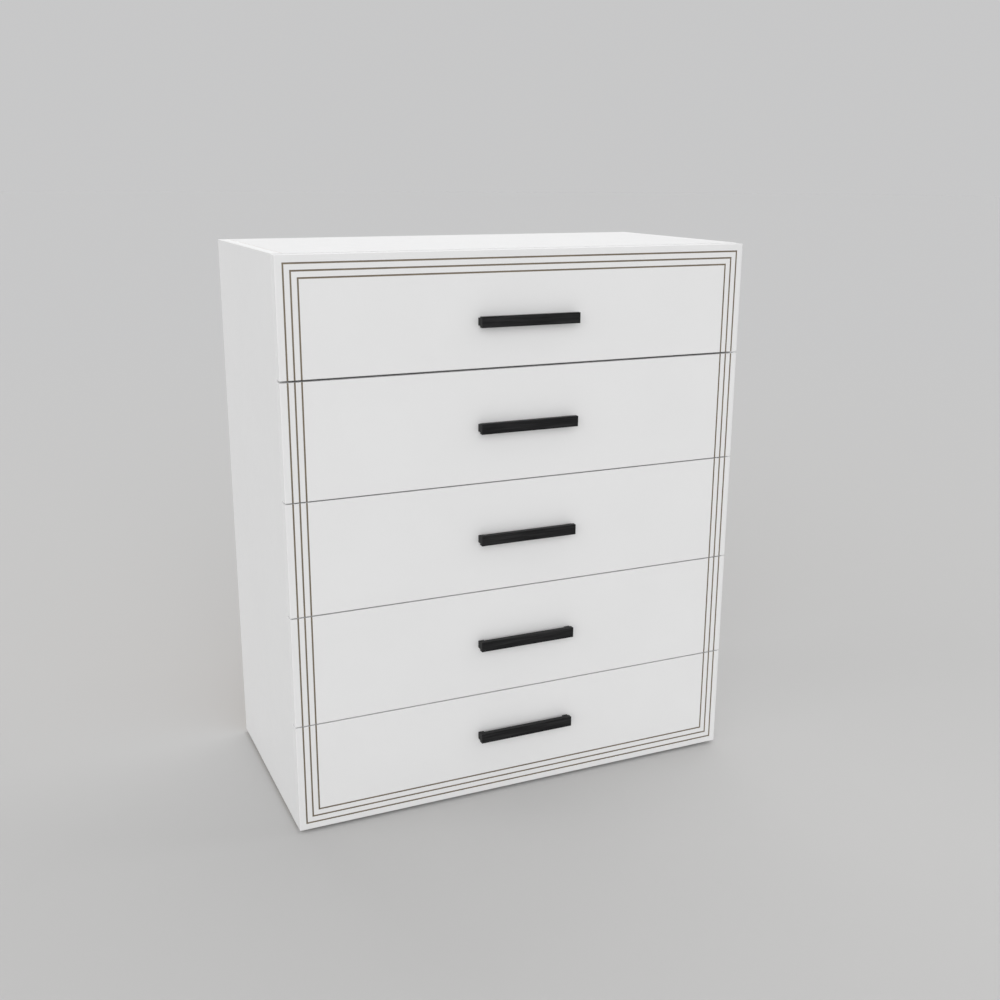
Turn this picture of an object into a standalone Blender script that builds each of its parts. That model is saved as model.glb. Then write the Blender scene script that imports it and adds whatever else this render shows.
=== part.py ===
# A tall chest of five drawers, as its separate boards, runners, handles and glides.
# Metres, +Z up. The drawer fronts face -Y, so +X is on the right of someone who faces them.
# The origin is on the floor, under the middle of the box that holds the chest with its handles.

from math import pi

import bmesh
import bpy
from mathutils import Matrix

# Overall sizes
WIDTH = 0.800
DEPTH = 0.400  # faces of the drawer fronts to the rear edges of the side panels
HEIGHT = 0.927  # floor to top surface
DRAWER_COUNT = 5

# Boards
BOARD = 0.018  # side, top and bottom panels
FRONT_BOARD = 0.018  # drawer fronts
BOX_BOARD = 0.012  # sides and backs of the drawer boxes
THIN_BOARD = 0.003  # back panel and drawer bottoms
BOARD_EDGE = 0.0008  # rounding of the side panels' edges
FRONT_EDGE = 0.0010  # rounding of the fronts' edges

# Clearances
FIT = 0.0003  # between pieces that touch
FRONT_GAP = 0.0018  # between one drawer front and the next
FIRST_GAP = 0.003  # under the uppermost front, whose lower edge is cut back for it
FRONT_STANDOFF = 0.001  # behind a closed drawer front
FRONT_DROP = 0.001  # from the top surface down to the uppermost front
RUNNER_SPACE = 0.0125  # between a drawer box and the side panel
PANEL_LIFT = 0.002  # between the bottom panel and the lowest runner
BOX_HEADROOM = 0.005  # between the uppermost drawer box and the top panel
BOX_REAR_SPACE = 0.0187  # between the drawer boxes and the back panel

# Slots that hold the thin boards
SLOT_DEPTH = 0.006
SLOT_PLAY = 0.0003  # on each face of the board in it
SLOT_END_PLAY = 0.0005  # between the board's edge and the slot's floor
BACK_INSET = 0.010  # from the rear edges to the back panel
BOX_SLOT_LIFT = 0.008  # from the drawer sides' lower edges to the drawer bottom's slot

# Lines cut round the whole front
LINE_COUNT = 3
LINE_INSET = 0.012  # outer edge to the middle of the first line
LINE_PITCH = 0.0107
LINE_WIDTH = 0.0026
LINE_DEPTH = 0.0012

# Steel runners: the cabinet's strip and the drawer's strip, each with one roller
STEEL = 0.0012
RAIL_SETBACK = 0.002  # behind the side panels' front edges
FLANGE_REST = 0.010  # height of the drawer strip's running face above the box's lower edge
SHELF_REACH = 0.010  # how far the drawer strip reaches under the drawer side
LIP_REACH = 0.006  # how far the cabinet strip's lip stands out from the side panel
ROLLER_RADIUS = 0.0075
AXLE_RADIUS = 0.002
FRONT_ROLLER_SETBACK = 0.038
REAR_ROLLER_SETBACK = 0.032
TRACK_PLAY = 0.0015  # under the front roller
TRACK_SIDE_PLAY = 0.0008  # between the track's edge and the drawer strip
LIP_PLAY = 0.0016  # between the drawer strip's flange and the lip over it
FLANGE_PLAY = 0.001  # between that flange and the cabinet strip
ROLLER_NEAR_PLAY = 0.0008  # between a roller and the strip that carries it
ROLLER_FAR_PLAY = 0.0017  # between a roller and the other strip
ROUND_STEPS = 20

# Handles
HANDLE_HEIGHT = 0.017
HANDLE_PROJECTION = 0.017
BAR_THICK = 0.0085
BAR_EDGE = 0.0005
FOOT_HEIGHT = 0.012
FOOT_WIDTH = 0.0096
FOOT_INSET = 0.0002  # the feet stand this little inside the ends of the bar
SCREW_SPACING = 0.160
SCREW_HOLE_RADIUS = 0.00225  # through the drawer front
THREAD_RADIUS = 0.00165  # in the handle's feet
THREAD_DEPTH = 0.007
HOLE_STEPS = 12

# Glides
GLIDE_HEIGHT = 0.005
GLIDE_MARGIN = 0.001  # between a glide's rim and the faces of the board that it is nailed to
GLIDE_TAPER = 0.0015  # how much narrower a glide is where it meets the floor
GLIDE_RIM = 0.002  # height at which the glide reaches its full radius
GLIDE_END_INSET = 0.035  # from the side panels' ends to the glides' centres

OVERCUT = 0.002  # how far a cutter runs past the face that it opens
JOIN = 0.001  # how far shapes that a union joins run into each other

# Planes that follow from those sizes
FACE_Y = (HANDLE_PROJECTION - DEPTH) / 2
REAR_Y = FACE_Y + DEPTH
BODY_FRONT_Y = FACE_Y + FRONT_BOARD + FRONT_STANDOFF
BACK_FACE_Y = REAR_Y - BACK_INSET
BACK_FRONT_Y = BACK_FACE_Y - THIN_BOARD
INNER_HALF = WIDTH / 2 - BOARD
BOTTOM_TOP_Z = GLIDE_HEIGHT + BOARD
FRONT_PITCH = (HEIGHT - FRONT_DROP - GLIDE_HEIGHT + FRONT_GAP) / DRAWER_COUNT
FRONT_HEIGHT = FRONT_PITCH - FRONT_GAP
LINES_END = LINE_INSET + (LINE_COUNT - 1) * LINE_PITCH + LINE_WIDTH / 2
GLIDE_RADIUS = BOARD / 2 - GLIDE_MARGIN
HANDLE_LENGTH = SCREW_SPACING + FOOT_WIDTH + 2 * FOOT_INSET

# Runner sizes that follow from the rollers and from the space beside a drawer
ROLLER_WIDTH = RUNNER_SPACE - 2 * (FIT + STEEL) - ROLLER_NEAR_PLAY - ROLLER_FAR_PLAY
TRACK_REACH = RUNNER_SPACE - FIT - STEEL - TRACK_SIDE_PLAY
RAIL_BELOW = FIT + 2 * ROLLER_RADIUS + TRACK_PLAY + STEEL - FLANGE_REST  # under the drawer box
RAIL_ABOVE = FLANGE_REST + LIP_PLAY + 2 * STEEL  # over the drawer box's lower edge

# The same for one drawer, from the middle of its front's face at the lower end of its bay
BOX_OUTER = INNER_HALF - RUNNER_SPACE
BOX_INNER = BOX_OUTER - BOX_BOARD
BOX_START = FRONT_BOARD + FIT
BOX_END = BACK_FRONT_Y - FACE_Y - BOX_REAR_SPACE
BOX_LOW = BOARD + PANEL_LIFT + RAIL_BELOW
BOX_TOP = FRONT_HEIGHT + FRONT_DROP - BOARD - BOX_HEADROOM
SLOT_LOW = BOX_LOW + BOX_SLOT_LIFT
SLOT_HIGH = SLOT_LOW + THIN_BOARD + 2 * SLOT_PLAY
RAIL_START = FRONT_BOARD + FRONT_STANDOFF + RAIL_SETBACK
RAIL_LENGTH = BOX_END - BOX_START


def new_group(name):
    group = bpy.data.collections.new(name)
    bpy.context.scene.collection.children.link(group)
    return group


def new_material(name, colour, roughness, metallic=0.0):
    finish = bpy.data.materials.new(name)
    finish.use_nodes = True
    shader = finish.node_tree.nodes["Principled BSDF"]
    shader.inputs["Base Color"].default_value = (*colour, 1.0)
    shader.inputs["Roughness"].default_value = roughness
    shader.inputs["Metallic"].default_value = metallic
    finish.diffuse_color = (*colour, 1.0)
    return finish


def add_object(name, mesh, finish, group, parent, place):
    obj = bpy.data.objects.new(name, mesh)
    mesh.materials.append(finish)
    group.objects.link(obj)
    obj.parent = parent
    obj.location = place
    if group == cutters:
        obj.hide_render = True
        obj.display_type = "WIRE"
    return obj


def add_block(name, low, high, finish, group, parent=None):
    # A board from one corner to the opposite one, measured from its parent.
    size = [b - a for a, b in zip(low, high)]
    centre = [(a + b) / 2 for a, b in zip(low, high)]
    mesh = bpy.data.meshes.new(name)
    shape = bmesh.new()
    bmesh.ops.create_cube(shape, size=1.0, matrix=Matrix.Diagonal((*size, 1.0)))
    shape.to_mesh(mesh)
    shape.free()
    return add_object(name, mesh, finish, group, parent, centre)


def add_rod(name, radius, low, high, axis, steps, parent):
    # A round cutter or insert that runs along X or Y from one end to the other.
    length = sum(b - a for a, b in zip(low, high))
    centre = [(a + b) / 2 for a, b in zip(low, high)]
    turn = Matrix.Rotation(pi / 2, 4, "Y" if axis == "X" else "X")
    mesh = bpy.data.meshes.new(name)
    shape = bmesh.new()
    bmesh.ops.create_cone(
        shape, cap_ends=True, segments=steps, radius1=radius, radius2=radius, depth=length, matrix=turn
    )
    shape.to_mesh(mesh)
    shape.free()
    return add_object(name, mesh, steel, cutters, parent, centre)


def round_edges(obj, width):
    rounding = obj.modifiers.new("edge_rounding", "BEVEL")
    rounding.width = width
    rounding.segments = 2
    rounding.limit_method = "ANGLE"


def cut(obj, tool):
    change = obj.modifiers.new("cut_" + tool.name, "BOOLEAN")
    change.operation = "DIFFERENCE"
    change.solver = "EXACT"
    change.object = tool


def join(obj, tool):
    change = obj.modifiers.new("join_" + tool.name, "BOOLEAN")
    change.operation = "UNION"
    change.solver = "EXACT"
    change.object = tool


def make_side_panel(side, sign):
    outer = sign * WIDTH / 2
    inner = sign * INNER_HALF
    panel = add_block(
        f"side_panel_{side}",
        (min(outer, inner), BODY_FRONT_Y, GLIDE_HEIGHT),
        (max(outer, inner), REAR_Y, HEIGHT),
        white_board,
        chest,
    )
    round_edges(panel, BOARD_EDGE)
    slot_floor = sign * (INNER_HALF + SLOT_DEPTH)
    slot_mouth = sign * (INNER_HALF - OVERCUT)
    slot = add_block(
        f"back_slot_{side}",
        (min(slot_floor, slot_mouth), BACK_FRONT_Y - SLOT_PLAY, GLIDE_HEIGHT - OVERCUT),
        (max(slot_floor, slot_mouth), BACK_FACE_Y + SLOT_PLAY, HEIGHT - BOARD + SLOT_DEPTH),
        white_board,
        cutters,
    )
    cut(panel, slot)


def make_top_panel():
    half = INNER_HALF - FIT
    under = HEIGHT - BOARD
    panel = add_block(
        "top_panel", (-half, BODY_FRONT_Y, under), (half, REAR_Y, HEIGHT), white_board, chest
    )
    slot = add_block(
        "back_slot_top",
        (-half - OVERCUT, BACK_FRONT_Y - SLOT_PLAY, under - OVERCUT),
        (half + OVERCUT, BACK_FACE_Y + SLOT_PLAY, under + SLOT_DEPTH),
        white_board,
        cutters,
    )
    cut(panel, slot)


def make_bottom_panel():
    half = INNER_HALF - FIT
    add_block(
        "bottom_panel",
        (-half, BODY_FRONT_Y, GLIDE_HEIGHT),
        (half, BACK_FRONT_Y - FIT, BOTTOM_TOP_Z),
        white_board,
        chest,
    )


def make_back_panel():
    half = INNER_HALF + SLOT_DEPTH - SLOT_END_PLAY
    add_block(
        "back_panel",
        (-half, BACK_FRONT_Y, GLIDE_HEIGHT),
        (half, BACK_FACE_Y, HEIGHT - BOARD + SLOT_DEPTH - SLOT_END_PLAY),
        thin_board,
        chest,
    )


def make_glide(name, x, y):
    # Turned about Z: the outline runs from the middle of the top, down the side, to the middle below.
    outline = [
        (0.0, GLIDE_HEIGHT - FIT),
        (GLIDE_RADIUS, GLIDE_HEIGHT - FIT),
        (GLIDE_RADIUS, GLIDE_RIM),
        (GLIDE_RADIUS - GLIDE_TAPER, 0.0),
        (0.0, 0.0),
    ]
    mesh = bpy.data.meshes.new(name)
    shape = bmesh.new()
    corners = [shape.verts.new((radius, 0.0, height)) for radius, height in outline]
    for pair in zip(corners, corners[1:]):
        shape.edges.new(pair)
    shape.to_mesh(mesh)
    shape.free()
    glide = add_object(name, mesh, grey_plastic, chest, None, (x, y, 0.0))
    turning = glide.modifiers.new("turning", "SCREW")
    turning.steps = ROUND_STEPS
    turning.render_steps = ROUND_STEPS
    turning.use_merge_vertices = True
    turning.merge_threshold = 0.0001
    turning.use_smooth_shade = True


def make_glides():
    side_x = (WIDTH - BOARD) / 2
    front_y = BODY_FRONT_Y + GLIDE_END_INSET
    rear_y = REAR_Y - GLIDE_END_INSET
    make_glide("glide_front_left", -side_x, front_y)
    make_glide("glide_front_right", side_x, front_y)
    make_glide("glide_rear_left", -side_x, rear_y)
    make_glide("glide_rear_right", side_x, rear_y)
    make_glide("glide_centre", 0.0, (front_y + rear_y) / 2)


def make_strip(name, section, start, parent):
    # A folded steel strip: its section in X and Z, drawn along Y and then thickened.
    mesh = bpy.data.meshes.new(name)
    shape = bmesh.new()
    corners = [shape.verts.new((x, start, z)) for x, z in section]
    folds = [shape.edges.new(pair) for pair in zip(corners, corners[1:])]
    drawn = bmesh.ops.extrude_edge_only(shape, edges=folds)["geom"]
    far_corners = [item for item in drawn if isinstance(item, bmesh.types.BMVert)]
    bmesh.ops.translate(shape, verts=far_corners, vec=(0.0, RAIL_LENGTH, 0.0))
    shape.to_mesh(mesh)
    shape.free()
    strip = add_object(name, mesh, steel, chest, parent, (0.0, 0.0, 0.0))
    wall = strip.modifiers.new("wall", "SOLIDIFY")
    wall.thickness = STEEL
    wall.offset = 0.0
    wall.use_even_offset = True
    return strip


def add_roller(strip, sign, wheel, axle, y, z):
    # wheel and axle are their near and far faces, measured inwards from the side panel.
    near, far = sorted(sign * (INNER_HALF - reach) for reach in wheel)
    axle_near, axle_far = sorted(sign * (INNER_HALF - reach) for reach in axle)
    parent = strip.parent
    pin = add_rod(
        strip.name + "_axle", AXLE_RADIUS, (axle_near, y, z), (axle_far, y, z), "X", ROUND_STEPS, parent
    )
    roller = add_rod(
        strip.name + "_roller", ROLLER_RADIUS, (near, y, z), (far, y, z), "X", ROUND_STEPS, parent
    )
    join(strip, pin)
    join(strip, roller)


def make_cabinet_runner(number, side, sign, origin):
    web = FIT + STEEL / 2
    track_z = BOX_LOW - RAIL_BELOW + STEEL / 2
    lip_z = BOX_LOW + RAIL_ABOVE - STEEL / 2
    section = [
        (sign * (INNER_HALF - TRACK_REACH), track_z),
        (sign * (INNER_HALF - web), track_z),
        (sign * (INNER_HALF - web), lip_z),
        (sign * (INNER_HALF - LIP_REACH), lip_z),
    ]
    strip = make_strip(f"cabinet_runner_{number}_{side}", section, RAIL_START, origin)
    wheel_near = web + STEEL / 2 + ROLLER_NEAR_PLAY
    wheel_far = wheel_near + ROLLER_WIDTH
    add_roller(
        strip,
        sign,
        (wheel_near, wheel_far),
        (web, wheel_far + JOIN / 2),
        RAIL_START + FRONT_ROLLER_SETBACK,
        BOX_LOW + FLANGE_REST - FIT - ROLLER_RADIUS,
    )


def make_drawer_runner(number, side, sign, origin):
    web = RUNNER_SPACE - FIT - STEEL / 2
    shelf_z = BOX_LOW - FIT - STEEL / 2
    flange_z = BOX_LOW + FLANGE_REST + STEEL / 2
    flange_end = FIT + STEEL + FLANGE_PLAY
    section = [
        (sign * (INNER_HALF - RUNNER_SPACE - SHELF_REACH), shelf_z),
        (sign * (INNER_HALF - web), shelf_z),
        (sign * (INNER_HALF - web), flange_z),
        (sign * (INNER_HALF - flange_end), flange_z),
    ]
    strip = make_strip(f"drawer_{number}_runner_{side}", section, BOX_START, origin)
    wheel_far = web - STEEL / 2 - ROLLER_NEAR_PLAY
    wheel_near = wheel_far - ROLLER_WIDTH
    add_roller(
        strip,
        sign,
        (wheel_near, wheel_far),
        (wheel_near - JOIN / 2, web),
        BOX_START + RAIL_LENGTH - REAR_ROLLER_SETBACK,
        BOX_LOW - RAIL_BELOW + STEEL + FIT + ROLLER_RADIUS,
    )


def make_line_cutters():
    # Each line is a rectangular frame round the whole front, so it runs on from one drawer to the next.
    frames = []
    for index in range(LINE_COUNT):
        outer = LINE_INSET + index * LINE_PITCH - LINE_WIDTH / 2
        inner = outer + LINE_WIDTH
        low_z = GLIDE_HEIGHT
        high_z = HEIGHT - FRONT_DROP
        frame = add_block(
            f"line_{index + 1}",
            (outer - WIDTH / 2, FACE_Y - OVERCUT, low_z + outer),
            (WIDTH / 2 - outer, FACE_Y + LINE_DEPTH, high_z - outer),
            white_board,
            cutters,
        )
        middle = add_block(
            f"line_{index + 1}_middle",
            (inner - WIDTH / 2, FACE_Y - 2 * OVERCUT, low_z + inner),
            (WIDTH / 2 - inner, FACE_Y + LINE_DEPTH + OVERCUT, high_z - inner),
            white_board,
            cutters,
        )
        cut(frame, middle)
        frames.append(frame)
    return frames


def front_low(number):
    return FIRST_GAP - FRONT_GAP if number == 1 else 0.0


def handle_height(number):
    # The handle is centred on the plain field that the lines leave on its front.
    low = LINES_END if number == DRAWER_COUNT else front_low(number)
    high = FRONT_HEIGHT - LINES_END if number == 1 else FRONT_HEIGHT
    return (low + high) / 2


def make_front(number, origin, line_cutters):
    name = f"drawer_{number}_front"
    front = add_block(
        name,
        (-WIDTH / 2, 0.0, front_low(number)),
        (WIDTH / 2, FRONT_BOARD, FRONT_HEIGHT),
        white_board,
        chest,
        origin,
    )
    round_edges(front, FRONT_EDGE)
    for frame in line_cutters:
        cut(front, frame)
    slot_half = BOX_INNER + SLOT_DEPTH
    slot = add_block(
        name + "_slot",
        (-slot_half, FRONT_BOARD - SLOT_DEPTH, SLOT_LOW),
        (slot_half, FRONT_BOARD + OVERCUT, SLOT_HIGH),
        white_board,
        cutters,
        origin,
    )
    cut(front, slot)
    z = handle_height(number)
    for side, x in (("left", -SCREW_SPACING / 2), ("right", SCREW_SPACING / 2)):
        hole = add_rod(
            f"{name}_hole_{side}",
            SCREW_HOLE_RADIUS,
            (x, -OVERCUT, z),
            (x, FRONT_BOARD + OVERCUT, z),
            "Y",
            HOLE_STEPS,
            origin,
        )
        cut(front, hole)


def make_handle(number, origin):
    name = f"drawer_{number}_handle"
    z = handle_height(number)
    half = HANDLE_LENGTH / 2
    bar_back = BAR_THICK - HANDLE_PROJECTION
    handle = add_block(
        name,
        (-half, -HANDLE_PROJECTION, z - HANDLE_HEIGHT / 2),
        (half, bar_back, z + HANDLE_HEIGHT / 2),
        black_metal,
        chest,
        origin,
    )
    round_edges(handle, BAR_EDGE)
    for side, x in (("left", -SCREW_SPACING / 2), ("right", SCREW_SPACING / 2)):
        foot = add_block(
            f"{name}_foot_{side}",
            (x - FOOT_WIDTH / 2, bar_back - JOIN, z - FOOT_HEIGHT / 2),
            (x + FOOT_WIDTH / 2, -FIT, z + FOOT_HEIGHT / 2),
            black_metal,
            cutters,
            origin,
        )
        join(handle, foot)
        thread = add_rod(
            f"{name}_thread_{side}",
            THREAD_RADIUS,
            (x, -FIT - THREAD_DEPTH, z),
            (x, -FIT + OVERCUT, z),
            "Y",
            HOLE_STEPS,
            origin,
        )
        cut(handle, thread)


def make_box_side(number, side, sign, origin):
    name = f"drawer_{number}_side_{side}"
    near, far = sorted((sign * BOX_OUTER, sign * BOX_INNER))
    board = add_block(
        name, (near, BOX_START, BOX_LOW), (far, BOX_END, BOX_TOP), white_board, chest, origin
    )
    slot_near, slot_far = sorted((sign * (BOX_INNER + SLOT_DEPTH), sign * (BOX_INNER - OVERCUT)))
    slot = add_block(
        name + "_slot",
        (slot_near, BOX_START - OVERCUT, SLOT_LOW),
        (slot_far, BOX_END + OVERCUT, SLOT_HIGH),
        white_board,
        cutters,
        origin,
    )
    cut(board, slot)


def make_box_back(number, origin):
    half = BOX_INNER - FIT
    add_block(
        f"drawer_{number}_back",
        (-half, BOX_END - BOX_BOARD, SLOT_HIGH),
        (half, BOX_END, BOX_TOP),
        white_board,
        chest,
        origin,
    )


def make_box_bottom(number, origin):
    half = BOX_INNER + SLOT_DEPTH - SLOT_END_PLAY
    add_block(
        f"drawer_{number}_bottom",
        (-half, FRONT_BOARD - SLOT_DEPTH + SLOT_END_PLAY, SLOT_LOW + SLOT_PLAY),
        (half, BOX_END, SLOT_HIGH - SLOT_PLAY),
        thin_board,
        chest,
        origin,
    )


def make_drawer_place(name, number):
    # An empty at the middle of a front's face, at the lower end of its bay, on the line it slides along.
    place = bpy.data.objects.new(f"{name}_{number}", None)
    place.location = (0.0, FACE_Y, GLIDE_HEIGHT + (DRAWER_COUNT - number) * FRONT_PITCH)
    chest.objects.link(place)
    return place


def make_drawer(number, line_cutters):
    slider = make_drawer_place("drawer", number)
    make_front(number, slider, line_cutters)
    make_handle(number, slider)
    make_box_back(number, slider)
    make_box_bottom(number, slider)
    shelf = make_drawer_place("drawer_bay", number)
    for side, sign in (("left", -1), ("right", 1)):
        make_box_side(number, side, sign, slider)
        make_drawer_runner(number, side, sign, slider)
        make_cabinet_runner(number, side, sign, shelf)


def main():
    for side, sign in (("left", -1), ("right", 1)):
        make_side_panel(side, sign)
    make_top_panel()
    make_bottom_panel()
    make_back_panel()
    make_glides()
    line_cutters = make_line_cutters()
    for number in range(1, DRAWER_COUNT + 1):
        make_drawer(number, line_cutters)


for old in list(bpy.data.objects):
    bpy.data.objects.remove(old, do_unlink=True)

chest = new_group("chest_of_drawers")
cutters = new_group("cutters")
white_board = new_material("white_board", (0.84, 0.84, 0.84), 0.45)
thin_board = new_material("thin_board", (0.78, 0.78, 0.77), 0.55)
black_metal = new_material("black_metal", (0.012, 0.012, 0.013), 0.40, 0.3)
steel = new_material("steel", (0.80, 0.80, 0.80), 0.35, 0.4)
grey_plastic = new_material("grey_plastic", (0.30, 0.30, 0.31), 0.50)

main()
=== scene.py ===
# Looks for a tall white chest of five drawers, built round its fixed frame.
# Metres, +Z up. The drawer fronts face -Y, and +X is on the right of someone who faces them.

from math import cos, pi, radians, sin

import bmesh
import bpy
from mathutils import Matrix, Vector


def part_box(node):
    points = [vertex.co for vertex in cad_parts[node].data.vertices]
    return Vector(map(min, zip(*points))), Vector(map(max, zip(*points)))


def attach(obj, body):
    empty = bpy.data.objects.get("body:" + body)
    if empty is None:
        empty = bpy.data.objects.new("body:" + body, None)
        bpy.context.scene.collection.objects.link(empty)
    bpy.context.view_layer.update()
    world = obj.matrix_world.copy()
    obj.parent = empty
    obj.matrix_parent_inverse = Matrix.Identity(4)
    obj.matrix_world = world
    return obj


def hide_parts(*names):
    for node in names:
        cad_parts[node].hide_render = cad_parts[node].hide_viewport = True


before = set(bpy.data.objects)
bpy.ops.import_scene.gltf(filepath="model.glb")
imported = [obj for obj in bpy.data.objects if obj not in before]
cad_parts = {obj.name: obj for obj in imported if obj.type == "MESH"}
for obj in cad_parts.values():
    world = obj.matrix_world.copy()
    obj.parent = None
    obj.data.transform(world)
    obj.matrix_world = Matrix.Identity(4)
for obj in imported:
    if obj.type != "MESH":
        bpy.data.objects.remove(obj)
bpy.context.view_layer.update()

drawerNumbers = range(1, 6)  # 1 is the uppermost
sideNames = ("left", "right")
near = 0.00002  # places closer than this count as the same
fitGap = 0.0003  # the frame's gap between pieces that touch
hairGap = 0.00005  # what is left of it between two boards here
overcut = 0.002  # how far a cutter reaches past what it cuts
skin = 0.0003  # a face this close to a board's broad side wears that side's foil


def selectOnly(*pieces):
    bpy.ops.object.select_all(action="DESELECT")
    for piece in pieces:
        piece.select_set(True)
    bpy.context.view_layer.objects.active = pieces[0]


def applyPlace(piece):
    selectOnly(piece)
    bpy.ops.object.transform_apply(location=True, rotation=True, scale=True)


def takeName(piece, name):
    piece.name = name
    piece.data.name = name
    return piece


def addBlock(name, low, high):
    centre = [(a + b) / 2 for a, b in zip(low, high)]
    size = [b - a for a, b in zip(low, high)]
    bpy.ops.object.select_all(action="DESELECT")
    bpy.ops.mesh.primitive_cube_add(size=1.0, location=centre, scale=size)
    block = takeName(bpy.context.object, name)
    applyPlace(block)
    return block


def addDrum(name, radius, height, sides, base=0.0):
    # A cylinder that stands on the given height, on the Z axis.
    bpy.ops.object.select_all(action="DESELECT")
    bpy.ops.mesh.primitive_cylinder_add(
        vertices=sides, radius=radius, depth=height, location=(0.0, 0.0, base + height / 2)
    )
    drum = takeName(bpy.context.object, name)
    applyPlace(drum)
    return drum


def startEditing(piece, kind):
    selectOnly(piece)
    bpy.ops.object.mode_set(mode="EDIT")
    bpy.ops.mesh.select_mode(type=kind)
    bpy.ops.mesh.select_all(action="DESELECT")


def stopEditing():
    bpy.ops.object.mode_set(mode="OBJECT")


def pickFaces(piece, wanted):
    bpy.ops.mesh.select_all(action="DESELECT")
    shape = bmesh.from_edit_mesh(piece.data)
    for face in shape.faces:
        if wanted(face.calc_center_median(), face.normal):
            face.select_set(True)
    bmesh.update_edit_mesh(piece.data)


def pickEdges(piece, wanted):
    bpy.ops.mesh.select_all(action="DESELECT")
    shape = bmesh.from_edit_mesh(piece.data)
    for edge in shape.edges:
        if wanted(edge.verts[0].co, edge.verts[1].co):
            edge.select_set(True)
    bmesh.update_edit_mesh(piece.data)


def moveOut(step):
    bpy.ops.mesh.extrude_region_move(TRANSFORM_OT_translate={"value": step})


def bevelPicked(width, segments):
    bpy.ops.mesh.bevel(offset=width, segments=segments, profile=0.5, affect="EDGES")


def faceOutwards(piece):
    startEditing(piece, "FACE")
    bpy.ops.mesh.select_all(action="SELECT")
    bpy.ops.mesh.normals_make_consistent(inside=False)
    stopEditing()


def applyChange(piece, change):
    selectOnly(piece)
    bpy.ops.object.modifier_apply(modifier=change.name)


def roundEdges(piece, width, segments=2, angle=30.0):
    rounding = piece.modifiers.new("rounding", "BEVEL")
    rounding.width = width
    rounding.segments = segments
    rounding.limit_method = "ANGLE"
    rounding.angle_limit = radians(angle)
    applyChange(piece, rounding)


def cutWith(piece, cutter, keep=False):
    change = piece.modifiers.new("cut", "BOOLEAN")
    change.operation = "DIFFERENCE"
    change.solver = "EXACT"
    change.object = cutter
    applyChange(piece, change)
    if not keep:
        bpy.data.objects.remove(cutter)


def smoothSurface(piece, angle=35.0):
    selectOnly(piece)
    bpy.ops.object.shade_smooth_by_angle(angle=radians(angle))
    flats = piece.modifiers.new("flats", "WEIGHTED_NORMAL")
    flats.keep_sharp = True
    applyChange(piece, flats)


def wear(piece, *finishes):
    piece.data.materials.clear()
    for finish in finishes:
        piece.data.materials.append(finish)


def paintFaces(piece, choose):
    for face in piece.data.polygons:
        face.material_index = choose(face.center, face.normal, face.material_index)


def copyPiece(source, name, step=(0.0, 0.0, 0.0)):
    selectOnly(source)
    bpy.ops.object.duplicate()
    piece = takeName(bpy.context.object, name)
    piece.location = step
    applyPlace(piece)
    return piece


def mirrorPiece(source, name):
    # The same piece for the other side of the chest.
    piece = copyPiece(source, name)
    piece.scale = (-1.0, 1.0, 1.0)
    applyPlace(piece)
    faceOutwards(piece)
    return piece


def placeCopy(source, name, place, direction, turn=0.0):
    # A copy of a piece that was made upright at the origin, with its top towards the direction.
    selectOnly(source)
    bpy.ops.object.duplicate()
    piece = takeName(bpy.context.object, name)
    facing = Vector(direction).to_track_quat("Z", "Y").to_matrix().to_4x4()
    piece.matrix_world = Matrix.Translation(place) @ facing @ Matrix.Rotation(turn, 4, "Z")
    applyPlace(piece)
    return piece


def joinAll(name, pieces):
    selectOnly(*pieces)
    if len(pieces) > 1:
        bpy.ops.object.join()
    return takeName(bpy.context.object, name)


def mount(piece, body, slotName, *nodes):
    # The finished piece moves with a body, and it may stand for nodes of the frame.
    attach(piece, body)
    if nodes:
        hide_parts(*nodes)
    return piece


def stepBetween(nodeA, nodeB):
    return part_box(nodeB)[0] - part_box(nodeA)[0]


def newFinish(name, colour, roughness, metallic=0.0, specular=0.5):
    finish = bpy.data.materials.new(name)
    finish.use_nodes = True
    shader = finish.node_tree.nodes["Principled BSDF"]
    shader.inputs["Base Color"].default_value = (*colour, 1.0)
    shader.inputs["Roughness"].default_value = roughness
    shader.inputs["Metallic"].default_value = metallic
    shader.inputs["Specular IOR Level"].default_value = specular
    return finish


def addPattern(finish, kind, stretch=(1.0, 1.0, 1.0), **sockets):
    # A noise or cell pattern on the piece's own coordinates.
    nodes = finish.node_tree.nodes
    links = finish.node_tree.links
    points = nodes.new("ShaderNodeTexCoord")
    mapping = nodes.new("ShaderNodeMapping")
    mapping.inputs["Scale"].default_value = stretch
    pattern = nodes.new(kind)
    for socket, value in sockets.items():
        pattern.inputs[socket].default_value = value
    links.new(points.outputs["Object"], mapping.inputs["Vector"])
    links.new(mapping.outputs["Vector"], pattern.inputs["Vector"])
    return pattern


def spread(finish, source, low, high, fromLow=0.3, fromHigh=0.7):
    # Turns a pattern's value into one between low and high.
    node = finish.node_tree.nodes.new("ShaderNodeMapRange")
    node.inputs["From Min"].default_value = fromLow
    node.inputs["From Max"].default_value = fromHigh
    node.inputs["To Min"].default_value = low
    node.inputs["To Max"].default_value = high
    finish.node_tree.links.new(source, node.inputs["Value"])
    return node.outputs["Result"]


def ramp(finish, source, stops):
    node = finish.node_tree.nodes.new("ShaderNodeValToRGB")
    colours = node.color_ramp
    while len(colours.elements) < len(stops):
        colours.elements.new(0.5)
    for element, (place, colour) in zip(colours.elements, stops):
        element.position = place
        element.color = (*colour, 1.0)
    finish.node_tree.links.new(source, node.inputs["Fac"])
    return node.outputs["Color"]


def feed(finish, socket, source):
    shader = finish.node_tree.nodes["Principled BSDF"]
    finish.node_tree.links.new(source, shader.inputs[socket])


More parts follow.
